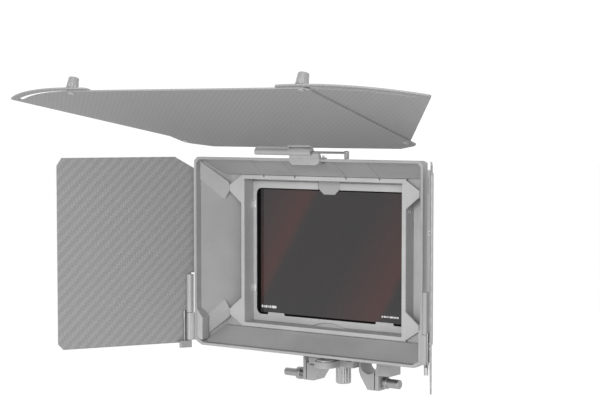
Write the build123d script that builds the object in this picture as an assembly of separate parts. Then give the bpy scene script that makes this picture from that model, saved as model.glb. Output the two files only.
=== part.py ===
from build123d import *
import os
from math import atan, cos, degrees, hypot, radians, sin, sqrt

# Lens hood for a cinema camera: a sloped hood shell with a filter stage behind it, a slide-out
# filter tray, one top flag with two fan-out wings, and two side flags.
#
# Frame: +Z up, +Y backwards along the optical axis, the hood opens towards -Y.
# The origin is the rear centre of the lens clamp. Every piece is drawn with Y as its depth
# behind the rim's front face, and write() moves it back by the whole depth of the hood.

# ---- driving dimensions, in millimetres and degrees ----
RIM_WIDTH = 211.0           # outside of the front rim
RIM_HEIGHT = 150.0
RIM_LIP = 2.0               # width of the rim's front face
RIM_STRAIGHT = 6.0          # depth of the straight stretch inside the rim
TOP_CUT = 3.0               # corner cuts of the rim
BOTTOM_CUT_X = 7.0
BOTTOM_CUT_Z = 4.0
SIDE_WALL = 2.33            # sloped walls, measured square to the optical axis
TOP_WALL = 2.42
POCKET_HALF = 85.9          # half width between the side walls where they meet the stage

COLLAR_WIDTH = 153.8        # front frame of the filter stage
COLLAR_HEIGHT = 121.6
COLLAR_BAR = 3.4
COLLAR_FRONT = 23.7         # depth of the collar's face
NOTCH_X = (-54.0, -24.0, 24.0, 54.0)
STAGE_FRONT = 35.4          # depth of the joint between the hood and the stage
STAGE_SPLIT = 37.4          # depth of the joint between the stage's front and its body
STAGE_REAR = 47.0
STAGE_HALF_X = 87.5
STAGE_HALF_Z = 67.0
STAGE_CORNER_R = 4.0
STAGE_SCREWS = ((81.5, 64.8), (81.5, -64.8), (40.0, -64.8))  # and their mirror images

FILTER_WIDTH = 143.5        # standard 4 x 5.65 inch filter
FILTER_HEIGHT = 101.6
FILTER_THICK = 4.0
FILTER_MID_Z = -0.8
FILTER_FRONT = 36.8
TRAY_HALF = 74.8
TRAY_FRONT = 35.8
TRAY_STEP = 37.4            # depth of the face above and below the bezel
TRAY_REAR = 42.4
TRAY_HALF_Z = 59.0
BEZEL_TOP = 55.6
BEZEL_BOTTOM = -57.0
TRAY_GAP = 0.3              # clearance of the tray in its channel
HANDLE_TOP = 71.5

CLAMP_BORE_R = 57.0         # for a 114 mm lens front
LINER_THICK = 1.4
RING_R = 64.0
RING_LENGTH = 14.0
LIGHT_HOLE_R = 56.0
LUG_X, LUG_Y, LUG_Z = -72.0, 54.0, 9.0  # split lug: middle, and half its height

ROD_R = 7.5                 # 15 mm rods, 60 mm apart, 85 mm below the optical axis
ROD_X = 30.0
ROD_Z = -85.0
LEFT_SCREW_Z = -101.5
RIGHT_SCREW_Z = -99.5
BRIDGE_TOP, BRIDGE_BOTTOM = -83.0, -88.0
RISER_Y0, RISER_Y1 = 38.5, 47.0
BOSS_Y = 31.0
KNOB_Y, KNOB_BOTTOM = 56.5, -104.0      # knob under the bridge
CLAMP_IN, CLAMP_OUT = 21.0, 39.0
CLAMP_TOP, CLAMP_BOTTOM = -75.0, -105.0
CLAMP_SLOT_X = 35.7
CLAMP_SCREW_X = 29.0        # where the thumbscrews end inside the clamps
LEFT_CLAMP_Y = 56.0
RIGHT_CLAMP_Y = 46.0
CLAMP_LENGTH = 16.0

HINGE_Y = -1.5              # flag hinge axes, just in front of the rim's face
SIDE_HINGE_X = 109.3
TOP_HINGE_Z = 80.0
TOP_SEAM_X = -10.8          # seam between the flag's knuckle and the bracket's
SIDE_SEAM_Z = -49.5
LEAF_KNUCKLE_R = 2.45       # the flags' knuckles
SEAM_GAP = 0.2
PIN_R = 0.9
CLIP_SCREW_Y = 7.6
RUNNING_FIT = 0.05          # radial clearance of pins and screws that turn
PIN_PULL = 23.4             # how far the top flag's release pin stands out of its bracket

TOP_TILT = 15.45            # flag angles, measured from straight ahead
SIDE_OPEN = 30.5
SIDE_THICK = 1.1
SIDE_OFFSET = 2.8           # from the hinge axis to the flag's inner face
SIDE_REAR = 2.4             # how far the flag reaches behind the axis beside its hinge
SIDE_REAR_TOP = 5.0         # and above it
SIDE_REACH = 107.3
SIDE_TOP = 75.0
SIDE_BOTTOM = -74.0
TOP_THICK = 1.1             # top flag and wings
TOP_OFFSET = 3.9
TOP_REACH = 152.5
TOP_HALF = 106.2

WING_PIVOT_X = 100.9
WING_PIVOT_S = 16.2
WING_HUB_R = 2.8
WING_R = 139.8
WING_SLOT_R = 133.1
WING_SLOT_WIDTH = 4.0
STUD_R = 1.7
WING_GAP = 0.1
WING_INNER = -6.8           # inner edge of the opened wing, from straight ahead
SLOT_START = -2.0
SLOT_MARGIN = 2.2
KNOB_ANGLE = -0.2           # the thumb knob's place in the slot
LEFT_FAN = 33.7
RIGHT_FAN = 35.6
KNOB_R = 4.5
KNOB_HEIGHT = 8.4
KNOB_FLUTES = 14

# ---- sizes worked out from them ----
HOOD_DEPTH = STAGE_REAR + RING_LENGTH
RIM_X = RIM_WIDTH / 2
RIM_Z = RIM_HEIGHT / 2
IN_X = RIM_X - RIM_LIP
IN_Z = RIM_Z - RIM_LIP
COLLAR_X = COLLAR_WIDTH / 2
COLLAR_Z = COLLAR_HEIGHT / 2
MOUTH_X = COLLAR_X - COLLAR_BAR
MOUTH_Z = COLLAR_Z - COLLAR_BAR
CEILING_Z = COLLAR_Z + 0.2
SIDE_SLOPE = (IN_X - POCKET_HALF) / (STAGE_FRONT - RIM_STRAIGHT)
TOP_SLOPE = (IN_Z - CEILING_Z) / (COLLAR_FRONT - RIM_STRAIGHT)
CHANNEL_X = TRAY_HALF + TRAY_GAP
CHANNEL_REAR = TRAY_REAR + 0.4
FILTER_X = FILTER_WIDTH / 2
FILTER_TOP = FILTER_MID_Z + FILTER_HEIGHT / 2
FILTER_BOTTOM = FILTER_MID_Z - FILTER_HEIGHT / 2
FILTER_REAR = FILTER_FRONT + FILTER_THICK
LATCH_REAR = FILTER_FRONT - 0.15
WING_LOW = TOP_OFFSET + TOP_THICK + WING_GAP
WING_TOP = WING_LOW + TOP_THICK
FAR = 300.0


# ---- small helpers ----
def box(x0, x1, y0, y1, z0, z1):
    """Box between two corners."""
    size = (x1 - x0, y1 - y0, z1 - z0)
    return Pos(x0, y0, z0) * Box(*size, align=(Align.MIN, Align.MIN, Align.MIN))


def rod(radius, start, end):
    """Round bar between two points."""
    axis = Vector(*end) - Vector(*start)
    base = Plane(origin=start, z_dir=axis.normalized())
    return base * Cylinder(radius, axis.length, align=(Align.CENTER, Align.CENTER, Align.MIN))


def slab(plane, points, depth):
    """Extrusion of a closed outline drawn on a plane."""
    return extrude(plane * make_face(Polyline(*points, close=True)), amount=depth)


def flat(points, z0, z1):
    """Plate from an (x, y) outline, between two heights."""
    return slab(Plane.XY.offset(z0), points, z1 - z0)


def upright(points, y0, y1):
    """Plate from an (x, z) outline, between two depths."""
    return slab(Plane.XZ.offset(-y1), points, y1 - y0)


def mirrored(points):
    """Close the right half of a symmetric outline with its mirror image."""
    return points + [(-x, y) for x, y in reversed(points)]


def left_of(shape):
    return mirror(shape, about=Plane.YZ)


def both(shape):
    """A right-hand piece and its mirror image."""
    return [shape, left_of(shape)]


def fitted(piece, cutters):
    """Cut the room for other pieces, and drop the crumbs left inside their sockets."""
    for cutter in cutters:
        piece -= cutter
    return piece.solids().sort_by(SortBy.VOLUME)[-1]


def flutes(x, y, ring, radius, count, z0, z1):
    """Upright cutters round a knob's middle, for the flutes of its grip."""
    turns = [radians(360 / count * step) for step in range(count)]
    spots = [(x + ring * cos(turn), y + ring * sin(turn)) for turn in turns]
    return [rod(radius, (fx, fy, z0), (fx, fy, z1)) for fx, fy in spots]


def write(name, *shapes):
    """Write one node, with its solids moved to the frame of the lens clamp."""
    os.makedirs("parts", exist_ok=True)
    solids = [Pos(0, -HOOD_DEPTH, 0) * solid for shape in shapes for solid in shape.solids()]
    node = solids[0] if len(solids) == 1 else Compound(children=solids)
    node.label = name
    export_step(node, f"parts/{name}.step")


# ---- hood shell ----
def hood_solid(grow, front):
    """The hood's outer solid, or with grow 0 the hollow inside it."""
    side, top = SIDE_WALL * grow, TOP_WALL * grow
    lip = RIM_LIP * grow
    plan = [(IN_X + lip, front), (IN_X + lip, RIM_STRAIGHT + (side - lip) / SIDE_SLOPE),
            (POCKET_HALF + side, STAGE_FRONT)]
    profile = [(front, IN_Z + lip), (RIM_STRAIGHT + (top - lip) / TOP_SLOPE, IN_Z + lip),
               (COLLAR_FRONT, CEILING_Z + top), (STAGE_FRONT, CEILING_Z + top)]
    inset = 0.4 * (1 - grow)
    rim_x, rim_z = IN_X + lip, IN_Z + lip
    rim = [(rim_x - BOTTOM_CUT_X + inset, -rim_z), (rim_x, -rim_z + BOTTOM_CUT_Z - inset),
           (rim_x, rim_z - TOP_CUT + inset), (rim_x - TOP_CUT + inset, rim_z)]
    across = slab(Plane.XY.offset(-FAR), mirrored(plan), 2 * FAR)
    upper = profile + [(y, -z) for y, z in reversed(profile)]
    along = slab(Plane.YZ.offset(-FAR), upper, 2 * FAR)
    return across & along & upright(mirrored(rim), front, STAGE_FRONT)


def corner_strut(side):
    """Web across the right corner, from the rim to the collar's gusset."""
    wall = IN_X - (COLLAR_FRONT - RIM_STRAIGHT) * SIDE_SLOPE
    rim_end = [(IN_X - 0.2, 57), (IN_X + 0.8, 57), (IN_X + 0.8, 71.4), (IN_X - 0.2, 71.4)]
    stage_end = [(88.2, 47.5), (wall + 1, 38.5), (wall + 1, 56), (88.2, 54)]
    ends = []
    for depth, corners in ((RIM_STRAIGHT - 0.5, rim_end), (COLLAR_FRONT, stage_end)):
        outline = Polyline(*[(x, side * z) for x, z in corners], close=True)
        ends.append(Plane.XZ.offset(-depth) * make_face(outline))
    return loft(ends)


def hood_shell():
    flange = box(-STAGE_HALF_X, STAGE_HALF_X, STAGE_FRONT - 3, STAGE_FRONT, -STAGE_HALF_Z, STAGE_HALF_Z)
    flange = fillet(flange.edges().filter_by(Axis.Y), STAGE_CORNER_R)
    shell = hood_solid(1, 0) + flange - hood_solid(0, -1) - hood_solid_tail()
    run = COLLAR_FRONT - RIM_STRAIGHT
    for x in NOTCH_X:
        groove = box(-0.5, 0.5, 0, hypot(run, IN_Z - CEILING_Z), -0.5, 0.2)
        shell -= Pos(x, RIM_STRAIGHT, IN_Z) * Rot(-degrees(atan(TOP_SLOPE)), 0, 0) * groove
    pocket = [(COLLAR_X + 0.3, 45), (COLLAR_X + 0.3, CEILING_Z + 1), (94, CEILING_Z + 1), (94, 50)]
    for side in (1, -1):
        floor = upright([(x, side * z) for x, z in pocket], COLLAR_FRONT + 2.5, COLLAR_FRONT + 4.5)
        for piece in both(corner_strut(side)) + both(floor):
            shell += piece
    return shell


def hood_solid_tail():
    """Opens the flange behind the hollow, so the stage's front shows in the side pockets."""
    return box(-POCKET_HALF, POCKET_HALF, STAGE_FRONT - 1, STAGE_FRONT + 1, -CEILING_Z, CEILING_Z)


# ---- filter stage ----
def stage_plate(y0, y1):
    plate = box(-STAGE_HALF_X, STAGE_HALF_X, y0, y1, -STAGE_HALF_Z, STAGE_HALF_Z)
    return fillet(plate.edges().filter_by(Axis.Y), STAGE_CORNER_R)


def tray_channel():
    return box(-CHANNEL_X, CHANNEL_X, STAGE_FRONT, CHANNEL_REAR, -TRAY_HALF_Z - TRAY_GAP, FAR)


def stage_front():
    collar = box(-COLLAR_X, COLLAR_X, COLLAR_FRONT, STAGE_SPLIT, -COLLAR_Z, COLLAR_Z)
    collar = chamfer(collar.faces().sort_by(Axis.Y)[0].edges(), 0.5)
    front = collar + stage_plate(STAGE_FRONT, STAGE_SPLIT)
    front -= box(-MOUTH_X, MOUTH_X, COLLAR_FRONT - 1, STAGE_FRONT + 1, -MOUTH_Z, MOUTH_Z)
    front -= tray_channel()
    gusset = [(COLLAR_X - 1, COLLAR_Z - 0.5), (89.5, 51.5), (89.5, 48.5), (COLLAR_X - 1, 37.5)]
    for side in (1, -1):
        plate = upright([(x, side * z) for x, z in gusset], COLLAR_FRONT, COLLAR_FRONT + 2.2)
        for piece in both(plate):
            front += piece
    for x in NOTCH_X:
        notch = [(x - 1.6, COLLAR_Z + 0.1), (x + 1.6, COLLAR_Z + 0.1), (x, COLLAR_Z - 2.2)]
        front -= upright(notch, COLLAR_FRONT - 1, COLLAR_FRONT + 2)
    return front


def stage_body():
    body = stage_plate(STAGE_SPLIT, STAGE_REAR) - tray_channel()
    body -= rod(LIGHT_HOLE_R, (0, STAGE_SPLIT, 0), (0, STAGE_REAR + 1, 0))
    rear_edges = body.faces().sort_by(Axis.Y)[-1].outer_wire().edges()
    body = chamfer(rear_edges, 0.8)
    return body - seal_frame(CHANNEL_REAR - 0.1, CHANNEL_REAR + 0.6)


def seal_frame(y0, y1):
    outer = box(-73, 73, y0, y1, -57.5, 57.5)
    return outer - box(-69, 69, y0 - 1, y1 + 1, -57.5 + 3, 57.5 - 3)


def stage_screws():
    screws = []
    for x, z in STAGE_SCREWS:
        shank = rod(1.1, (x, STAGE_FRONT - 2, z), (x, STAGE_REAR - 1.5, z))
        head = rod(1.7, (x, STAGE_REAR - 2, z), (x, STAGE_REAR, z))
        screws += both(shank + socketed(head, (x, STAGE_REAR, z), Axis.Y, 0.9))
    return screws


def socketed(head, mouth, axis, radius):
    """Cut a hexagon socket into a screw's head, from its mouth inwards against the axis."""
    place = Plane(origin=mouth, z_dir=axis.direction)
    return head - place * extrude(RegularPolygon(radius, 6), amount=-1.2)


def collar_screws():
    screw = rod(1.7, (COLLAR_X - 2, 29, 36), (COLLAR_X + 0.5, 29, 36))
    return both(socketed(screw, (COLLAR_X + 0.5, 29, 36), Axis.X, 0.8))


def tray_detents():
    depth = (TRAY_STEP + TRAY_REAR) / 2
    body = rod(2.0, (CHANNEL_X + 1, depth, 20), (STAGE_HALF_X, depth, 20))
    tip = rod(1.2, (CHANNEL_X + 0.1, depth, 20), (CHANNEL_X + 1.2, depth, 20))
    return both(socketed(body + tip, (STAGE_HALF_X, depth, 20), Axis.X, 1.1))


# ---- lens clamp ----
def clamp_gap():
    return box(-FAR, -CLAMP_BORE_R + 2, STAGE_REAR - 1, HOOD_DEPTH + 1, -1.5, 1.5)


def lens_clamp_ring():
    ring = rod(RING_R, (0, STAGE_REAR, 0), (0, HOOD_DEPTH, 0))
    ring = chamfer(ring.faces().sort_by(Axis.Y)[-1].edges(), 0.8)
    lug = box(LUG_X - 7, -60, LUG_Y - 5, LUG_Y + 5, -LUG_Z, LUG_Z)
    lug = fillet(lug.edges().filter_by(Axis.Z).sort_by(Axis.X)[:2], 3)
    ring = ring + lug
    ring -= rod(CLAMP_BORE_R + LINER_THICK, (0, STAGE_REAR - 1, 0), (0, HOOD_DEPTH + 1, 0))
    ring -= rod(2.0, (LUG_X, LUG_Y, -LUG_Z - 1), (LUG_X, LUG_Y, LUG_Z + 1))
    return ring - clamp_gap()


def lens_clamp_liner():
    liner = rod(CLAMP_BORE_R + LINER_THICK, (0, STAGE_REAR, 0), (0, HOOD_DEPTH, 0))
    liner -= rod(CLAMP_BORE_R, (0, STAGE_REAR - 1, 0), (0, HOOD_DEPTH + 1, 0))
    return liner - clamp_gap()


def ring_screws():
    screws = []
    for turn in (45, 135, 225, 315):
        x, z = 61.2 * cos(radians(turn)), 61.2 * sin(radians(turn))
        shank = rod(1.25, (x, CHANNEL_REAR + 1, z), (x, HOOD_DEPTH - 4, z))
        head = rod(2.4, (x, CHANNEL_REAR, z), (x, CHANNEL_REAR + 2, z))
        screws.append(shank + head)
    return screws


def lens_clamp_knob():
    base = LUG_Z + 0.3
    knob = rod(6.4, (LUG_X, LUG_Y, base), (LUG_X, LUG_Y, base + 11))
    knob = chamfer(knob.edges().filter_by(GeomType.CIRCLE), 0.8)
    for flute in flutes(LUG_X, LUG_Y, 7.0, 1.4, 10, base - 1, base + 12):
        knob -= flute
    return knob + rod(2.0 - RUNNING_FIT, (LUG_X, LUG_Y, -LUG_Z - 4.5), (LUG_X, LUG_Y, base + 1))


def lens_clamp_nut():
    hexagon = Pos(LUG_X, LUG_Y, -LUG_Z - 3.2) * extrude(RegularPolygon(4.2, 6), amount=3.2)
    return hexagon - rod(2.0, (LUG_X, LUG_Y, -FAR), (LUG_X, LUG_Y, 0))


# ---- rod bracket under the stage ----
def bridge_screws():
    depth = (RISER_Y0 + RISER_Y1) / 2
    shank = rod(2.0, (8, depth, BRIDGE_BOTTOM + 2), (8, depth, -61))
    head = rod(3.4, (8, depth, BRIDGE_BOTTOM), (8, depth, BRIDGE_BOTTOM + 3))
    socket = Pos(8, depth, BRIDGE_BOTTOM) * extrude(RegularPolygon(1.7, 6), amount=1.8)
    return both(shank + head - socket)


def rod_bridge():
    plate = box(-8.5, 8.5, BOSS_Y, RISER_Y0 + 4, BRIDGE_BOTTOM, BRIDGE_TOP)
    plate += rod(8.5, (0, BOSS_Y, BRIDGE_BOTTOM), (0, BOSS_Y, BRIDGE_TOP))
    plate += box(-CLAMP_IN, CLAMP_IN, RISER_Y0, 66, BRIDGE_BOTTOM, BRIDGE_TOP)
    return plate - rod(2.5, (0, BOSS_Y, -FAR), (0, BOSS_Y, 0)) - rod(2.5, (0, KNOB_Y, -FAR), (0, KNOB_Y, 0))


def bridge_knob():
    """Fluted knob below the bridge, on a shank that turns in it."""
    head_top = BRIDGE_BOTTOM - 0.3
    knob = rod(6.1, (0, KNOB_Y, KNOB_BOTTOM), (0, KNOB_Y, head_top))
    knob = chamfer(knob.edges().filter_by(GeomType.CIRCLE), 0.7)
    for flute in flutes(0, KNOB_Y, 6.4, 0.8, 16, KNOB_BOTTOM - 1, head_top - 3):
        knob -= flute
    return knob + rod(2.5 - RUNNING_FIT, (0, KNOB_Y, head_top - 1), (0, KNOB_Y, BRIDGE_TOP))


def bridge_pad():
    pad = rod(7.2, (0, BOSS_Y, BRIDGE_TOP), (0, BOSS_Y, BRIDGE_TOP + 1.2))
    return pad - rod(2.5, (0, BOSS_Y, -FAR), (0, BOSS_Y, 0))


def centre_screw():
    top = BRIDGE_TOP + 0.8
    screw = rod(2.5, (0, BOSS_Y, BRIDGE_BOTTOM + 0.5), (0, BOSS_Y, top))
    return socketed(screw, (0, BOSS_Y, top), Axis.Z, 1.4)


def rod_clamp(front, screw_z):
    """Split clamp for one rod, drawn on the right side."""
    rear, middle = front + CLAMP_LENGTH, front + CLAMP_LENGTH / 2
    low = CLAMP_BOTTOM
    outline = [(CLAMP_IN, CLAMP_TOP), (CLAMP_OUT, CLAMP_TOP), (CLAMP_OUT, low),
               (CLAMP_IN + 8, low), (CLAMP_IN + 1.5, low + 10), (CLAMP_IN, low + 14)]
    clamp = upright(outline, front, rear)
    clamp = chamfer(clamp.faces().sort_by(Axis.Y)[0].edges(), 0.5)
    clamp -= rod(ROD_R, (ROD_X, front - 1, ROD_Z), (ROD_X, rear + 1, ROD_Z))
    clamp -= box(CLAMP_SLOT_X - 0.5, CLAMP_SLOT_X + 0.5, front - 1, rear + 1, low - 1, ROD_Z)
    return clamp - rod(2.5, (CLAMP_SCREW_X, middle, screw_z), (FAR, middle, screw_z))


def thumbscrew(front, z, head_r, stem_r, head_x, end_x):
    """Clamp screw along +X: shank through the clamp, shoulder and knurled head."""
    y = front + CLAMP_LENGTH / 2
    shank = rod(2.5 - RUNNING_FIT, (CLAMP_SCREW_X + 0.5, y, z), (head_x + 1, y, z))
    shoulder = rod(head_r, (head_x, y, z), (head_x + 4.2, y, z))
    shoulder = chamfer(shoulder.edges().filter_by(GeomType.CIRCLE), 0.4)
    stem = rod(stem_r, (head_x + 4, y, z), (end_x, y, z))
    return shank + shoulder + chamfer(stem.faces().sort_by(Axis.X)[-1].edges(), 0.4)


# ---- flag hinge units ----
# Each unit is drawn lying along +X, with its hinge axis on X, the seam of its knuckles at X 0,
# the rim's front face at Y 1.5 and the rim's outer face below the axis.
# The right unit is that drawing turned 90 degrees about Y, and the left unit is its mirror image.
class Unit:
    def __init__(self, place, clip, screw_x, bracket_end, barrel, flag_end, heel,
                 block, drop, lip, offset, thick):
        self.place = place
        self.clip = clip                # stretch of the rim that the clip holds
        self.screw_x = screw_x
        self.bracket_end = bracket_end  # length and radius of the bracket's knuckle
        self.barrel = barrel
        self.flag_end = flag_end        # length of the flag's knuckle
        self.heel = heel                # how far that knuckle reaches behind the axis
        self.block = block              # length and width of the release pin's pull block
        self.drop = drop                # from the hinge axis to the rim
        self.lip = lip                  # depth of the lip over the rim's face, or 0
        self.offset = offset            # the flag's inner and outer faces
        self.outer = offset + thick


def clip_screw(unit):
    low = -unit.drop
    x, y = unit.screw_x, CLIP_SCREW_Y
    shank = rod(1.4, (x, y, low - 3.2), (x, y, low + 1.2))
    head = rod(2.6, (x, y, low + 1), (x, y, low + 2.6))
    return shank + socketed(head, (x, y, low + 2.6), Axis.Z, 1.2)


def bracket(unit):
    x0, x1 = unit.clip
    low = -unit.drop
    front = -HINGE_Y
    web = [(SEAM_GAP, low + 0.5), (x1, low + 0.5), (x1, -1), (unit.bracket_end, 1.2), (SEAM_GAP, 1.2)]
    body = rod(unit.barrel, (SEAM_GAP, 0, 0), (unit.bracket_end, 0, 0)) + upright(web, -0.6, 2.2)
    body += box(SEAM_GAP, x1, front - 1, CLIP_SCREW_Y + 3.2, low, low + 1)
    if unit.lip:
        cut = unit.lip
        tip = low - RIM_LIP - cut
        lip = [(x0, low + 1), (x1, low + 1), (x1, tip + cut),
               (x1 - cut, tip), (x0 + cut, tip), (x0, tip + cut)]
        body += upright(lip, front - 1, front)
    body -= rod(PIN_R + RUNNING_FIT, (-FAR, 0, 0), (FAR, 0, 0))
    return body - clip_screw(unit)


def clamp_plate(unit, shell, thick):
    """Plate inside the rim that the clip's screw pulls against it."""
    x0, x1 = unit.clip
    inner = -unit.drop - RIM_LIP
    low = inner - thick
    outline = [(x0 + 0.5, inner), (x1 - 0.5, inner), (x1 - 0.5, low), (x0 + 1.4 * thick, low)]
    plate = upright(outline, -HINGE_Y + 0.5, -HINGE_Y + 8.4)
    return fitted(unit.place * (plate - clip_screw(unit)), [shell])


def release_pin(unit, turn, pull):
    """Hinge pin with its pull block, turned about its axis and pulled out along it."""
    seat = max(unit.bracket_end, unit.clip[1]) + 0.6
    reach, width = unit.block
    pin = rod(PIN_R, (1.5 - unit.flag_end, 0, 0), (seat + 1, 0, 0))
    block = box(seat, seat + width, -reach, 1.4, -1.2, 1.9)
    block = chamfer(block.edges().filter_by(Axis.X), 0.6)
    return unit.place * Pos(pull, 0, 0) * Rot(-turn, 0, 0) * (pin + block)


def side_release_pin(turn):
    """The side pins' blocks also carry a wire beside the hinge, with a bead at its end."""
    guard = rod(0.6, (4, -4.2, 1.4), (side_unit.bracket_end + 1, -4.2, 1.4))
    guard += rod(1.0, (-1.5, -4.2, 1.4), (5, -4.2, 1.4))
    return release_pin(side_unit, turn, 0) + side_unit.place * Rot(-turn, 0, 0) * guard


def flag_leaf(unit, turn):
    """The flag's half of the hinge: its knuckle and the saddle that carries the plate."""
    leaf = rod(LEAF_KNUCKLE_R, (-unit.flag_end, 0, 0), (-SEAM_GAP, 0, 0))
    leaf += box(-unit.flag_end, -SEAM_GAP, -1.4, 1.4, 1, unit.offset)
    leaf += box(-unit.flag_end, -SEAM_GAP, 0, unit.heel, -1.6, 1.6)
    leaf -= rod(PIN_R + RUNNING_FIT, (-FAR, 0, 0), (FAR, 0, 0))
    return unit.place * Rot(-turn, 0, 0) * (leaf - Compound(children=leaf_rivets(unit)))


def leaf_rivets(unit):
    rivets = []
    for x in (4 - unit.flag_end, -unit.flag_end / 2, -4):
        rivet = rod(0.8, (x, 0, 1.4), (x, 0, unit.outer + 0.3))
        rivets.append(rivet + rod(1.3, (x, 0, unit.outer), (x, 0, unit.outer + 0.5)))
    return rivets


# ---- side flags ----
def side_flag(unit):
    """Side flag plate in its unit's drawing, where X runs down the flag."""
    top, bottom = SIDE_SEAM_Z - SIDE_TOP, SIDE_SEAM_Z - SIDE_BOTTOM
    outline = [(top, -11), (top, -SIDE_REACH + 4), (top + 6, -SIDE_REACH), (bottom - 4.5, -SIDE_REACH),
               (bottom, -SIDE_REACH + 4), (bottom, SIDE_REAR), (-unit.flag_end - 1, SIDE_REAR),
               (-unit.flag_end - 1, SIDE_REAR_TOP), (top + 9.1, SIDE_REAR_TOP)]
    plate = flat(outline, unit.offset, unit.outer)
    plate -= Compound(children=leaf_rivets(unit))
    return unit.place * Rot(-SIDE_OPEN, 0, 0) * plate


# ---- top flag, in a drawing whose X is the hood's X, forward is -Y and the hinge axis is X ----
def wing_point(angle, radius):
    """Point at an angle from straight ahead about the right wing's pivot."""
    turn = radians(angle)
    return (WING_PIVOT_X + radius * sin(turn), -WING_PIVOT_S - radius * cos(turn))


def wing(fan):
    """Right wing, opened by its fan angle: hub, straight edges, round front and curved slot."""
    reach = sqrt(WING_R ** 2 - WING_HUB_R ** 2)
    spread = degrees(atan(WING_HUB_R / reach))
    outer_hub, inner_hub = wing_point(fan + 90, WING_HUB_R), wing_point(WING_INNER - 90, WING_HUB_R)
    outer_tip, inner_tip = wing_point(fan + spread, WING_R), wing_point(WING_INNER - spread, WING_R)
    middle = (fan + WING_INNER) / 2
    front = ThreePointArc(outer_tip, wing_point(middle, WING_R), inner_tip)
    hub = ThreePointArc(inner_hub, wing_point(middle + 180, WING_HUB_R), outer_hub)
    outline = Wire([Line(outer_hub, outer_tip), front, Line(inner_tip, inner_hub), hub])
    plate = extrude(Plane.XY.offset(WING_LOW) * make_face(outline), amount=TOP_THICK)
    corners = plate.edges().filter_by(Axis.Z).filter_by(lambda edge: edge.center().Y < -100)
    plate = fillet(corners, 3)
    ends = (SLOT_START, fan - SLOT_MARGIN)
    path = CenterArc(wing_point(0, 0), WING_SLOT_R, -90 + ends[0], ends[1] - ends[0])
    slot = Plane.XY.offset(WING_LOW - 1) * SlotArc(arc=path, height=WING_SLOT_WIDTH)
    plate -= extrude(slot, amount=TOP_THICK + 2)
    x, y = wing_point(0, 0)
    return plate - rod(1.6 + RUNNING_FIT, (x, y, 0), (x, y, 10))


def wing_pivot():
    x, y = wing_point(0, 0)
    pivot = rod(1.6, (x, y, TOP_OFFSET - 0.2), (x, y, WING_TOP + 0.4))
    pivot += rod(2.2, (x, y, TOP_OFFSET - 0.5), (x, y, TOP_OFFSET))
    return pivot + rod(2.6, (x, y, WING_TOP + 0.2), (x, y, WING_TOP + 1))


def knob_place():
    return wing_point(KNOB_ANGLE, WING_SLOT_R)


def wing_stud():
    x, y = knob_place()
    stem = rod(STUD_R, (x, y, TOP_OFFSET - 0.3), (x, y, WING_TOP + 6.4))
    return stem + rod(2.4, (x, y, TOP_OFFSET - 0.5), (x, y, TOP_OFFSET))


def knob_washer():
    x, y = knob_place()
    washer = rod(5.4, (x, y, WING_TOP + 0.1), (x, y, WING_TOP + 0.6))
    return washer - rod(STUD_R, (x, y, 0), (x, y, 20))


def wing_knob():
    x, y = knob_place()
    base = WING_TOP + 0.8
    top = base + KNOB_HEIGHT
    upright_cone = Cone(KNOB_R, KNOB_R - 0.8, KNOB_HEIGHT, align=(Align.CENTER, Align.CENTER, Align.MIN))
    knob = Pos(x, y, base) * upright_cone
    knob = chamfer(knob.edges().filter_by(GeomType.CIRCLE), 0.5)
    for flute in flutes(x, y, KNOB_R + 0.2, 0.6, KNOB_FLUTES, base + 1, top + 1):
        knob -= flute
    return knob - rod(STUD_R + RUNNING_FIT, (x, y, 0), (x, y, WING_TOP + 6.6))


def top_flag():
    right = [(86.3, 1.4), (102.3, -7), (TOP_HALF, -11),
             (TOP_HALF, 4 - TOP_REACH), (TOP_HALF - 4, -TOP_REACH)]
    plate = flat(mirrored(right), TOP_OFFSET, TOP_OFFSET + TOP_THICK)
    for piece in both(wing_pivot()) + both(wing_stud()):
        plate -= piece
    return plate


# ---- filter tray ----
def tray_frame():
    frame = box(-TRAY_HALF, TRAY_HALF, TRAY_STEP, TRAY_REAR, -TRAY_HALF_Z, TRAY_HALF_Z)
    bezel = box(-TRAY_HALF, TRAY_HALF, TRAY_FRONT, TRAY_STEP, BEZEL_BOTTOM, BEZEL_TOP)
    bezel = chamfer(bezel.faces().sort_by(Axis.Y)[0].edges(), 0.3)
    frame += bezel
    low, high = FILTER_BOTTOM, FILTER_TOP
    window = box(-FILTER_X + 1.3, FILTER_X - 1.3, TRAY_FRONT - 1, FILTER_FRONT, low, high)
    frame -= fillet(window.edges().filter_by(Axis.Y), 5)
    seat_x = FILTER_X + 0.1
    frame -= box(-seat_x, seat_x, FILTER_FRONT - 0.1, FILTER_REAR + 0.6, low - 0.1, high + 0.1)
    frame -= box(-69.5, 69.5, TRAY_FRONT, TRAY_REAR + 1, low + 2, high - 2)
    for x in (-51.0, 51.0):
        lip = [(x - 8.5, low - 0.5), (x + 8.5, low - 0.5), (x + 7.5, low + 2), (x - 7.5, low + 2)]
        frame += upright(lip, TRAY_FRONT, FILTER_FRONT - 0.2)
    thumb_r, thumb_drop = 38.0, 35.0
    middle = BEZEL_BOTTOM - thumb_drop
    frame -= rod(thumb_r, (0, TRAY_FRONT - 1, middle), (0, TRAY_STEP, middle))
    frame += box(-20, 20, TRAY_STEP, TRAY_REAR, -TRAY_HALF_Z, -TRAY_HALF_Z + 3)
    return frame - box(-10.3, 10.3, TRAY_FRONT - 1, LATCH_REAR + 0.1, FILTER_TOP - 1, TRAY_HALF_Z + 1)


def filter_latch():
    half = [(5.0, 46.3), (10.0, 50.6), (10.0, 58.5)]
    latch = upright(mirrored(half), TRAY_FRONT, LATCH_REAR)
    return chamfer(latch.faces().sort_by(Axis.Y)[0].edges(), 0.25)


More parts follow.
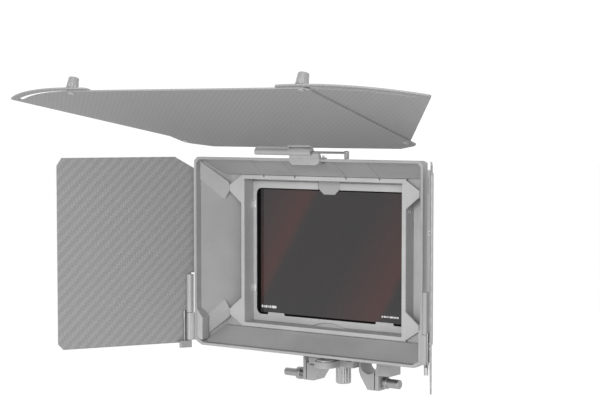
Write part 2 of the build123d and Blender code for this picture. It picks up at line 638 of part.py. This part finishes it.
def tray_handle():
    handle = box(-24, 24, TRAY_STEP + 1, TRAY_REAR, TRAY_HALF_Z, HANDLE_TOP)
    handle = fillet(handle.edges().filter_by(Axis.Y).sort_by(Axis.Z)[-2:], 4)
    for step in range(4):
        z = TRAY_HALF_Z + 3.5 + 2.2 * step
        handle -= box(-18, 18, TRAY_STEP + 0.5, TRAY_STEP + 1.6, z, z + 1.1)
    return handle


def tray_seal():
    y0, y1 = FILTER_REAR, FILTER_REAR + 0.6
    outer = box(-FILTER_X, FILTER_X, y0, y1, FILTER_BOTTOM, FILTER_TOP)
    return outer - box(-69.7, 69.7, y0 - 1, y1 + 1, FILTER_BOTTOM + 1.9, FILTER_TOP - 1.9)


def filter_pane():
    pane = box(-FILTER_X, FILTER_X, FILTER_FRONT, FILTER_REAR, FILTER_BOTTOM, FILTER_TOP)
    pane = fillet(pane.edges().filter_by(Axis.Y), 2.5)
    return chamfer(pane.faces().sort_by(Axis.Y)[0].edges(), 0.4)


def filter_springs():
    return [box(-73.4, -71.4, TRAY_FRONT - 0.3, TRAY_FRONT, z - 2.75, z + 2.75) for z in (36.5, -30.6)]


# ---- build and write every node ----
shell = hood_shell()
side_place = Pos(SIDE_HINGE_X, HINGE_Y, SIDE_SEAM_Z) * Rot(0, 90, 0)
top_place = Pos(TOP_SEAM_X, HINGE_Y, TOP_HINGE_Z)
top_unit = Unit(top_place, (-1.2, 26.8), 24.0, 20.5, 3.0, 32.0, 1.4, (4.6, 2.4),
                TOP_HINGE_Z - RIM_Z, 2.7, TOP_OFFSET, TOP_THICK)
side_unit = Unit(side_place, (-3.5, 22.0), 9.5, 22.0, 2.2, 30.5, 3.0, (8.5, 5.6),
                 SIDE_HINGE_X - RIM_X, 0, SIDE_OFFSET, SIDE_THICK)

top_screw = top_unit.place * clip_screw(top_unit)
side_screw = side_unit.place * clip_screw(side_unit)
clip_screws = [top_screw] + both(side_screw)
shell = fitted(shell, stage_screws() + clip_screws)

write("hood_shell", shell)
write("top_flag_bracket", top_unit.place * bracket(top_unit))
write("top_flag_clamp_plate", clamp_plate(top_unit, shell, 1.5))
write("top_flag_clamp_screw", top_screw)
right_bracket = side_unit.place * bracket(side_unit)
plates = {"right": clamp_plate(side_unit, shell, 1.5), "left": clamp_plate(side_unit, shell, 5.3)}
for side, turned in (("right", lambda shape: shape), ("left", left_of)):
    write(f"{side}_flag_bracket", turned(right_bracket))
    write(f"{side}_flag_clamp_plate", turned(plates[side]))
    write(f"{side}_flag_clamp_screw", turned(side_screw))
    write(f"{side}_flag_release_pin", turned(side_release_pin(SIDE_OPEN)))
    write(f"{side}_flag_leaf", turned(flag_leaf(side_unit, SIDE_OPEN)))
    write(f"{side}_flag", turned(side_flag(side_unit)))
    rivets = [side_unit.place * Rot(-SIDE_OPEN, 0, 0) * rivet for rivet in leaf_rivets(side_unit)]
    write(f"{side}_flag_rivets", *[turned(rivet) for rivet in rivets])

top_turn = Pos(0, HINGE_Y, TOP_HINGE_Z) * Rot(-TOP_TILT, 0, 0)
unit_turn = top_unit.place * Rot(-TOP_TILT, 0, 0)
rivets = [unit_turn * rivet for rivet in leaf_rivets(top_unit)]
write("top_flag", fitted(top_turn * top_flag(), rivets))
write("top_flag_leaf", flag_leaf(top_unit, TOP_TILT))
write("top_flag_strip", unit_turn * box(0.5, 21, -5, 1, TOP_OFFSET - 0.6, TOP_OFFSET))
write("top_flag_rivets", *rivets)
write("top_flag_release_pin", release_pin(top_unit, -90, PIN_PULL))
write("right_wing", top_turn * wing(RIGHT_FAN))
write("left_wing", top_turn * left_of(wing(LEFT_FAN)))
write("wing_pivots", *[top_turn * piece for piece in both(wing_pivot())])
write("wing_studs", *[top_turn * piece for piece in both(wing_stud())])
write("wing_washers", *[top_turn * piece for piece in both(knob_washer())])
write("right_wing_knob", top_turn * wing_knob())
write("left_wing_knob", top_turn * left_of(wing_knob()))

riser = box(-14, 14, RISER_Y0, RISER_Y1, BRIDGE_TOP, -STAGE_HALF_Z)
body_screws = stage_screws() + tray_detents() + ring_screws() + bridge_screws()
write("stage_front", fitted(stage_front(), stage_screws() + collar_screws()))
write("stage_body", fitted(stage_body(), body_screws))
write("stage_screws", *stage_screws())
write("collar_screws", *collar_screws())
write("tray_detents", *tray_detents())
write("light_seal", seal_frame(CHANNEL_REAR - 0.2, CHANNEL_REAR + 0.6))
write("lens_clamp_ring", fitted(lens_clamp_ring(), ring_screws()))
write("lens_clamp_liner", lens_clamp_liner())
write("lens_clamp_ring_screws", *ring_screws())
write("lens_clamp_knob", lens_clamp_knob())
write("lens_clamp_nut", lens_clamp_nut())
write("bracket_riser", fitted(riser, bridge_screws()))
write("rod_bridge", fitted(rod_bridge(), bridge_screws()))
write("bridge_screws", *bridge_screws())
write("bridge_pad", bridge_pad())
write("bridge_centre_screw", centre_screw())
side_block = box(CLAMP_OUT, 49.5, RIGHT_CLAMP_Y, RIGHT_CLAMP_Y + CLAMP_LENGTH, -93, CLAMP_TOP)
write("left_rod_clamp", left_of(rod_clamp(LEFT_CLAMP_Y, LEFT_SCREW_Z)))
write("right_rod_clamp", rod_clamp(RIGHT_CLAMP_Y, RIGHT_SCREW_Z) + side_block)
write("left_rod_thumbscrew", left_of(thumbscrew(LEFT_CLAMP_Y, LEFT_SCREW_Z, 5.0, 3.1, 45, 61.5)))
write("right_rod_thumbscrew", thumbscrew(RIGHT_CLAMP_Y, RIGHT_SCREW_Z, 4.5, 3.6, CLAMP_OUT + 0.3, 54))
write("bridge_knob", bridge_knob())

write("tray_frame", tray_frame())
write("tray_handle", tray_handle())
write("tray_seal", tray_seal())
write("filter_pane", filter_pane())
write("filter_springs", *filter_springs())
write("filter_latch", filter_latch())
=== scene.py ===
import bmesh
import bpy
from math import radians
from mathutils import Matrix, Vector


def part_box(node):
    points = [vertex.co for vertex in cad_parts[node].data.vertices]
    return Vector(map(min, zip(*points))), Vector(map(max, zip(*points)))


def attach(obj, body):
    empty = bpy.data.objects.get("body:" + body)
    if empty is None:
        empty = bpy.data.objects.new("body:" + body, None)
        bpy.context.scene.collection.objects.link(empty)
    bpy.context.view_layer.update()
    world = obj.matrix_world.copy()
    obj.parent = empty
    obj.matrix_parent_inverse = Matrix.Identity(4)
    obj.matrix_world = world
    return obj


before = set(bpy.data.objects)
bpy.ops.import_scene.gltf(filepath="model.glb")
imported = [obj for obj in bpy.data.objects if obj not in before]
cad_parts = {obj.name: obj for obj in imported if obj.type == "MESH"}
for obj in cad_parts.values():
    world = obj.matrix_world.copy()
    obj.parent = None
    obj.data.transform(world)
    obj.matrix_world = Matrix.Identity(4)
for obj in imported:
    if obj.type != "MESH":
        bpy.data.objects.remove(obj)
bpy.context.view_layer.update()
pane_low, pane_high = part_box("filter_pane")

# ---- how the flags stand at rest, which their weave follows ----
TOP_TILT = radians(15.45)
SIDE_OPEN = radians(30.5)

# ---- filter: near-black edge band and printed ticks, measured in from the edges of the pane ----
RIM_LEFT = 0.00515
RIM_BOTTOM = 0.0016
RIM_TOP = 0.0010
REFLECTION_BAND_LEAN = 0.585            # sideways run of the painted reflection bands for each metre of height
TICKS_LEFT = 0.00575
TICKS_RIGHT = 0.02395
TICKS_UP = 0.0063
INK_THICK = 0.00003
INK_GAP = 0.00001

# ---- studio ----
FLOOR_SIZE = 12.0
FLOOR_LOW = -0.32
WORLD_STRENGTH = 1.06
KEY_PLACE = (0.6, -1.5, 0.35)
KEY_TARGET = (0, -0.05, 0)
KEY_POWER = 26
LENS = 90.86
CAMERA_PLACE = (0.65877, -0.99711, 0.10588)
CAMERA_DOWN = 3.35           # degrees below level
CAMERA_TURN = 35.23          # degrees round from straight ahead


# ---- procedural materials ----
class Surface:
    """One procedural material around a Principled shader."""

    def __init__(self, name, **sockets):
        self.material = bpy.data.materials.new(name)
        self.material.use_nodes = True
        self.tree = self.material.node_tree
        self.shader = self.tree.nodes["Principled BSDF"]
        for socket, value in sockets.items():
            self.shader.inputs[socket.replace("_", " ")].default_value = value
        self.place = self.node("ShaderNodeTexCoord").outputs["Object"]

    def node(self, kind, **settings):
        made = self.tree.nodes.new(kind)
        for key, value in settings.items():
            setattr(made, key, value)
        return made

    def feed(self, socket, source):
        if hasattr(source, "is_output"):
            self.tree.links.new(source, socket)
        else:
            socket.default_value = source

    def math(self, operation, *values):
        made = self.node("ShaderNodeMath", operation=operation)
        for socket, value in zip(made.inputs, values):
            self.feed(socket, value)
        return made.outputs[0]

    def turned(self, angles, stretch=(1, 1, 1)):
        made = self.node("ShaderNodeMapping")
        made.inputs["Rotation"].default_value = angles
        made.inputs["Scale"].default_value = stretch
        self.feed(made.inputs["Vector"], self.place)
        return made.outputs[0]

    def noise(self, size, detail=3.0, place=None):
        made = self.node("ShaderNodeTexNoise")
        made.inputs["Scale"].default_value = 1 / size
        made.inputs["Detail"].default_value = detail
        self.feed(made.inputs["Vector"], place or self.place)
        return made.outputs["Fac"]

    def cells(self, size):
        made = self.node("ShaderNodeTexVoronoi")
        made.inputs["Scale"].default_value = 1 / size
        self.feed(made.inputs["Vector"], self.place)
        return made.outputs["Distance"]

    def ramp(self, source, stops):
        made = self.node("ShaderNodeValToRGB")
        ramp = made.color_ramp.elements
        for element, (at, colour) in zip(ramp, stops):
            element.position = at
            element.color = colour
        for at, colour in stops[2:]:
            ramp.new(at).color = colour
        self.feed(made.inputs[0], source)
        return made.outputs[0]

    def spread(self, source, low, high, start=0.3, end=0.7):
        made = self.node("ShaderNodeMapRange")
        made.inputs["From Min"].default_value = start
        made.inputs["From Max"].default_value = end
        made.inputs["To Min"].default_value = low
        made.inputs["To Max"].default_value = high
        self.feed(made.inputs["Value"], source)
        return made.outputs[0]

    def mix(self, factor, first, second):
        made = self.node("ShaderNodeMix", data_type="RGBA")
        for index, value in ((0, factor), (6, first), (7, second)):
            self.feed(made.inputs[index], value)
        return made.outputs[2]

    def edges(self, radius):
        """Rounded normal, and a mask that is 1 along the edges it rounds."""
        bevel = self.node("ShaderNodeBevel", samples=4)
        bevel.inputs["Radius"].default_value = radius
        facing = self.node("ShaderNodeVectorMath", operation="DOT_PRODUCT")
        self.feed(facing.inputs[0], bevel.outputs[0])
        self.feed(facing.inputs[1], self.node("ShaderNodeNewGeometry").outputs["Normal"])
        return bevel.outputs[0], self.spread(facing.outputs["Value"], 1, 0, 0.86, 0.99)

    def relief(self, height, depth, normal=None):
        made = self.node("ShaderNodeBump")
        made.inputs["Strength"].default_value = 1
        made.inputs["Distance"].default_value = depth
        self.feed(made.inputs["Height"], height)
        if normal:
            self.feed(made.inputs["Normal"], normal)
        return made.outputs[0]


def grey(value):
    return (value, value, value, 1)


def grained(name, value, grain, depth, rough, mottle=0.12, wear=0.25, **sockets):
    """Moulded plastic or blasted metal: fine grain, slow mottling, and edges rubbed lighter."""
    made = Surface(name, **sockets)
    normal, worn = made.edges(0.0005)
    cloud = made.noise(0.03, 4)
    grit = made.noise(grain, 2)
    body = made.ramp(cloud, [(0.3, grey(value * (1 - mottle))), (0.7, grey(value * (1 + mottle)))])
    speck = made.ramp(grit, [(0.35, grey(value * 0.9)), (0.65, grey(value * 1.1))])
    base = made.mix(0.45, body, speck)
    rubbed = made.math("MULTIPLY", worn, made.spread(made.noise(0.006, 4), 0, 1, 0.42, 0.62))
    base = made.mix(made.math("MULTIPLY", rubbed, wear), base, grey(min(1, value * 2.2)))
    made.feed(made.shader.inputs["Base Color"], base)
    made.feed(made.shader.inputs["Roughness"], made.spread(cloud, rough - 0.06, rough + 0.06))
    height = made.math("ADD", grit, made.math("MULTIPLY", made.cells(grain * 1.7), 0.6))
    made.feed(made.shader.inputs["Normal"], made.relief(height, depth, normal))
    return made.material


def steel(name, value, rough, stretch, turn=(0, 0, 0)):
    """Turned or ground metal with fine marks drawn out along one way."""
    made = Surface(name, Metallic=1.0)
    normal, worn = made.edges(0.0003)
    marks = made.noise(0.0012, 5, made.turned(turn, stretch))
    cloud = made.noise(0.012, 3)
    body = made.ramp(marks, [(0.25, grey(value * 0.8)), (0.75, grey(value * 1.12))])
    base = made.mix(made.math("MULTIPLY", worn, 0.4), body, grey(min(1, value * 1.4)))
    made.feed(made.shader.inputs["Base Color"], base)
    made.feed(made.shader.inputs["Roughness"], made.spread(cloud, rough - 0.05, rough + 0.08))
    made.feed(made.shader.inputs["Normal"], made.relief(marks, 0.00002, normal))
    return made.material


def carbon(name, turn, across, along, lean, tow_width, light, dark, **sockets):
    """Two by two twill: tows pass over two and under two, each crossing one step further on; the two ways of
    tow carry a painted sheen, one lighter than the other.
    """
    made = Surface(name, **sockets)
    normal, worn = made.edges(0.0003)
    split = made.node("ShaderNodeSeparateXYZ")
    made.feed(split.inputs[0], made.turned(turn))
    u = made.math("DIVIDE", split.outputs[across], tow_width)
    v = made.math("DIVIDE", split.outputs[along], tow_width)
    step = made.math(lean, made.math("FLOOR", u), made.math("FLOOR", v))
    over = made.math("LESS_THAN", made.math("FLOORED_MODULO", step, 4), 2)
    heights, fibres = [], []
    for run, side in ((v, u), (u, v)):
        offset = made.math("ABSOLUTE", made.math("SUBTRACT", made.math("FRACT", side), 0.5))
        crown = made.math("SUBTRACT", 1, made.math("POWER", made.math("MULTIPLY", offset, 2), 3))
        heights.append(crown)
        strand = made.node("ShaderNodeCombineXYZ")
        made.feed(strand.inputs[0], made.math("MULTIPLY", side, 9))
        made.feed(strand.inputs[1], made.math("MULTIPLY", run, 0.35))
        fibres.append(made.noise(1, 2, strand.outputs[0]))
    height = made.node("ShaderNodeMix")
    made.feed(height.inputs[0], over)
    made.feed(height.inputs[2], heights[1])
    made.feed(height.inputs[3], heights[0])
    fibre = made.node("ShaderNodeMix")
    made.feed(fibre.inputs[0], over)
    made.feed(fibre.inputs[2], fibres[1])
    made.feed(fibre.inputs[3], fibres[0])
    # painted sheen: tows running one way get the light tone and tows running the other way get the dark tone,
    # in place of the fibres' directional reflection
    tow_sheen = made.mix(over, grey(dark), grey(light))
    shade = made.ramp(fibre.outputs[0], [(0.3, grey(dark * 0.94)), (0.7, grey(light * 1.03))])
    base = made.mix(0.4, tow_sheen, shade)
    gap = made.spread(height.outputs[0], 0.45, 0, 0.0, 0.35)
    base = made.mix(gap, base, grey(dark * 0.8))
    base = made.mix(made.math("MULTIPLY", worn, 0.3), base, grey(light * 1.5))
    made.feed(made.shader.inputs["Base Color"], base)
    made.feed(made.shader.inputs["Roughness"], made.spread(fibre.outputs[0], 0.38, 0.5))
    rise = made.math("ADD", height.outputs[0], made.math("MULTIPLY", fibre.outputs[0], 0.25))
    made.feed(made.shader.inputs["Normal"], made.relief(rise, 0.00006, normal))
    return made.material


def rubber(name, value):
    made = Surface(name, Specular_IOR_Level=0.25)
    pores = made.cells(0.0007)
    cloud = made.noise(0.004, 4)
    base = made.ramp(cloud, [(0.3, grey(value * 0.8)), (0.7, grey(value * 1.3))])
    made.feed(made.shader.inputs["Base Color"], base)
    made.feed(made.shader.inputs["Roughness"], made.spread(cloud, 0.78, 0.9))
    made.feed(made.shader.inputs["Normal"], made.relief(pores, 0.0001))
    return made.material


def coated_glass(name):
    """Dense neutral glass with a little dust, warm slanting bands of painted reflection, and a near-black,
    barely reflecting band along the left, bottom and top edges.
    """
    made = Surface(name, IOR=1.5)
    split = made.node("ShaderNodeSeparateXYZ")
    made.feed(split.inputs[0], made.place)
    # painted reflection: warm slanting bands laid into the glass colour in place of reflections running
    # across it
    slant = made.math("SUBTRACT", split.outputs[0], made.math("MULTIPLY", split.outputs[2], REFLECTION_BAND_LEAN))
    wander = made.math("MULTIPLY", made.math("SUBTRACT", made.noise(0.05, 2), 0.5), 0.004)
    across = made.math("MULTIPLY", made.math("ADD", made.math("ADD", slant, wander), 0.12), 4)
    neutral, warm = (0.0135, 0.0119, 0.0131, 1), (0.033, 0.0135, 0.012, 1)
    stops = [(0.12, neutral), (0.29, warm), (0.33, neutral), (0.56, neutral), (0.76, warm), (0.79, neutral)]
    painted_reflection_bands = made.ramp(across, stops)
    dust = made.spread(made.noise(0.0011, 6), 0, 0.04, 0.62, 0.75)
    pane = made.mix(dust, painted_reflection_bands, grey(0.3))
    # a near-black, barely reflecting band along the left, bottom and top edges of the pane
    left = made.math("LESS_THAN", split.outputs[0], pane_low.x + RIM_LEFT)
    bottom = made.math("LESS_THAN", split.outputs[2], pane_low.z + RIM_BOTTOM)
    top = made.math("GREATER_THAN", split.outputs[2], pane_high.z - RIM_TOP)
    rim = made.math("MAXIMUM", left, made.math("MAXIMUM", bottom, top))
    made.feed(made.shader.inputs["Base Color"], made.mix(rim, pane, grey(0.003)))
    made.feed(made.shader.inputs["Roughness"], made.spread(made.noise(0.02, 4), 0.03, 0.07))
    made.feed(made.shader.inputs["Specular IOR Level"], made.spread(rim, 0.5, 0.02, 0, 1))
    return made.material


hood = grained("hood_moulding", 0.225, 0.0006, 0.00004, 0.5)
stage = grained("stage_anodised", 0.285, 0.0004, 0.00003, 0.42, wear=0.4)
support = grained("bracket_anodised", 0.22, 0.0004, 0.00003, 0.4, wear=0.4)
hinge = grained("hinge_anodised", 0.25, 0.0004, 0.00002, 0.36, wear=0.5)
knob = grained("knob_anodised", 0.3, 0.0004, 0.00002, 0.26, wear=0.5, Metallic=0.7)
latch = grained("latch_moulding", 0.225, 0.0005, 0.00003, 0.45)
plate = grained("clamp_plate_blasted", 0.36, 0.0004, 0.00003, 0.4, wear=0.2, Metallic=0.5)
sealing = rubber("black_rubber", 0.05)
bright = steel("turned_steel", 0.62, 0.28, (1, 1, 8))
pin = steel("ground_steel", 0.3, 0.36, (8, 1, 1))
glass = coated_glass("filter_glass")
spring = steel("polished_steel", 0.95, 0.3, (1, 1, 8))
top_sheet = carbon("carbon_top", (TOP_TILT, 0, 0), 0, 1, "ADD", 0.0011, 0.235, 0.205, Specular_IOR_Level=0.03)
side_gloss = {"Coat_Weight": 0.25, "Coat_Roughness": 0.22}
right_sheet = carbon("carbon_right", (0, 0, -SIDE_OPEN), 1, 2, "SUBTRACT", 0.0021, 0.18, 0.14, **side_gloss)
left_sheet = carbon("carbon_left", (0, 0, SIDE_OPEN), 1, 2, "SUBTRACT", 0.0021, 0.18, 0.14, **side_gloss)

SIDES = ("top", "left", "right")
FINISH = {
    hood: ["hood_shell"],
    stage: ["stage_front", "stage_body", "tray_frame", "tray_handle"],
    support: ["lens_clamp_ring", "bracket_riser", "rod_bridge", "left_rod_clamp", "right_rod_clamp"],
    spring: ["filter_springs", "top_flag_strip"],
    hinge: ["wing_pivots", "wing_studs", "top_flag_clamp_plate", "right_flag_clamp_plate",
            *[f"{side}_flag_{part}" for side in SIDES for part in ("bracket", "leaf")]],
    knob: ["left_wing_knob", "right_wing_knob", "lens_clamp_knob", "bridge_knob", "wing_washers"],
    latch: ["filter_latch"],
    plate: ["left_flag_clamp_plate", "bridge_pad"],
    sealing: ["light_seal", "tray_seal", "lens_clamp_liner"],
    pin: ["bridge_centre_screw", "left_rod_thumbscrew", "right_rod_thumbscrew",
          *[f"{side}_flag_{part}" for side in SIDES for part in ("release_pin", "rivets")]],
    glass: ["filter_pane"],
    top_sheet: ["top_flag", "left_wing", "right_wing"],
    right_sheet: ["right_flag"],
    left_sheet: ["left_flag"],
}
named = {node: material for material, nodes in FINISH.items() for node in nodes}
for name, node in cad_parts.items():
    node.data.materials.clear()
    node.data.materials.append(named.get(name, bright))


# ---- printed ticks on the filter ----
def printed_ticks(name, start, widths, height, material):
    """Row of small light ticks with cut corners, just in front of the pane."""
    back = pane_low.y - INK_GAP
    middle = pane_low.z + TICKS_UP
    half = height / 2
    cut = height * 0.22
    mesh = bmesh.new()
    x = start
    for width in widths:
        end = x + width
        outline = [(x + cut, -half), (end - cut, -half), (end, cut - half), (end, half - cut),
                   (end - cut, half), (x + cut, half), (x, half - cut), (x, cut - half)]
        rings = []
        for y in (back - INK_THICK, back):
            rings.append([mesh.verts.new((px, y, middle + pz)) for px, pz in outline])
        mesh.faces.new(rings[0])
        mesh.faces.new(reversed(rings[1]))
        for k in range(8):
            mesh.faces.new((rings[0][k], rings[1][k], rings[1][k - 1], rings[0][k - 1]))
        x += width + 0.0005
    data = bpy.data.meshes.new(name)
    bmesh.ops.recalc_face_normals(mesh, faces=mesh.faces)
    mesh.to_mesh(data)
    ticks = bpy.data.objects.new(name, data)
    bpy.context.scene.collection.objects.link(ticks)
    data.materials.append(material)
    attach(ticks, "filter_tray")


ink = grained("printed_ink", 0.45, 0.0004, 0.00001, 0.5)
left_widths = [0.0016, 0.001, 0.0022, 0.0009, 0.0017, 0.0048]
right_widths = [0.0014, 0.0019, 0.0012, 0.0007, 0.0036, 0.0016, 0.0018]
printed_ticks("filter_ticks_left", pane_low.x + TICKS_LEFT, left_widths, 0.0021, ink)
printed_ticks("filter_ticks_right", pane_high.x - TICKS_RIGHT, right_widths, 0.0014, ink)


# ---- floor, light and camera ----
def floor():
    mesh = bpy.data.meshes.new("floor")
    corners = [(FLOOR_SIZE * x, FLOOR_SIZE * y, FLOOR_LOW) for x, y in ((-1, -1), (1, -1), (1, 1), (-1, 1))]
    mesh.from_pydata(corners, [], [(0, 1, 2, 3)])
    ground = bpy.data.objects.new("floor", mesh)
    bpy.context.scene.collection.objects.link(ground)
    made = Surface("studio_floor", Roughness=0.8)
    cloud = made.ramp(made.noise(0.3, 3), [(0.3, grey(0.93)), (0.7, grey(0.95))])
    made.feed(made.shader.inputs["Base Color"], cloud)
    mesh.materials.append(made.material)


def area_light(name, place, target, width, height, power):
    lamp = bpy.data.lights.new(name, "AREA")
    lamp.shape = "RECTANGLE"
    lamp.size = width
    lamp.size_y = height
    lamp.energy = power
    light = bpy.data.objects.new(name, lamp)
    light.location = place
    light.rotation_euler = (Vector(target) - Vector(place)).to_track_quat("-Z", "Y").to_euler()
    bpy.context.scene.collection.objects.link(light)


def studio():
    world = bpy.data.worlds.new("studio")
    world.use_nodes = True
    world.node_tree.nodes["Background"].inputs["Color"].default_value = (1, 1, 1, 1)
    world.node_tree.nodes["Background"].inputs["Strength"].default_value = WORLD_STRENGTH
    bpy.context.scene.world = world
    bpy.context.scene.view_settings.view_transform = "Standard"
    area_light("key", KEY_PLACE, KEY_TARGET, 1.2, 0.6, KEY_POWER)


def camera():
    lens = bpy.data.cameras.new("camera")
    lens.lens = LENS
    lens.sensor_width = 36
    lens.dof.use_dof = False
    made = bpy.data.objects.new("camera", lens)
    made.location = CAMERA_PLACE
    made.rotation_euler = (radians(90 - CAMERA_DOWN), 0, radians(CAMERA_TURN))
    bpy.context.scene.collection.objects.link(made)
    bpy.context.scene.camera = made


floor()
studio()
camera()
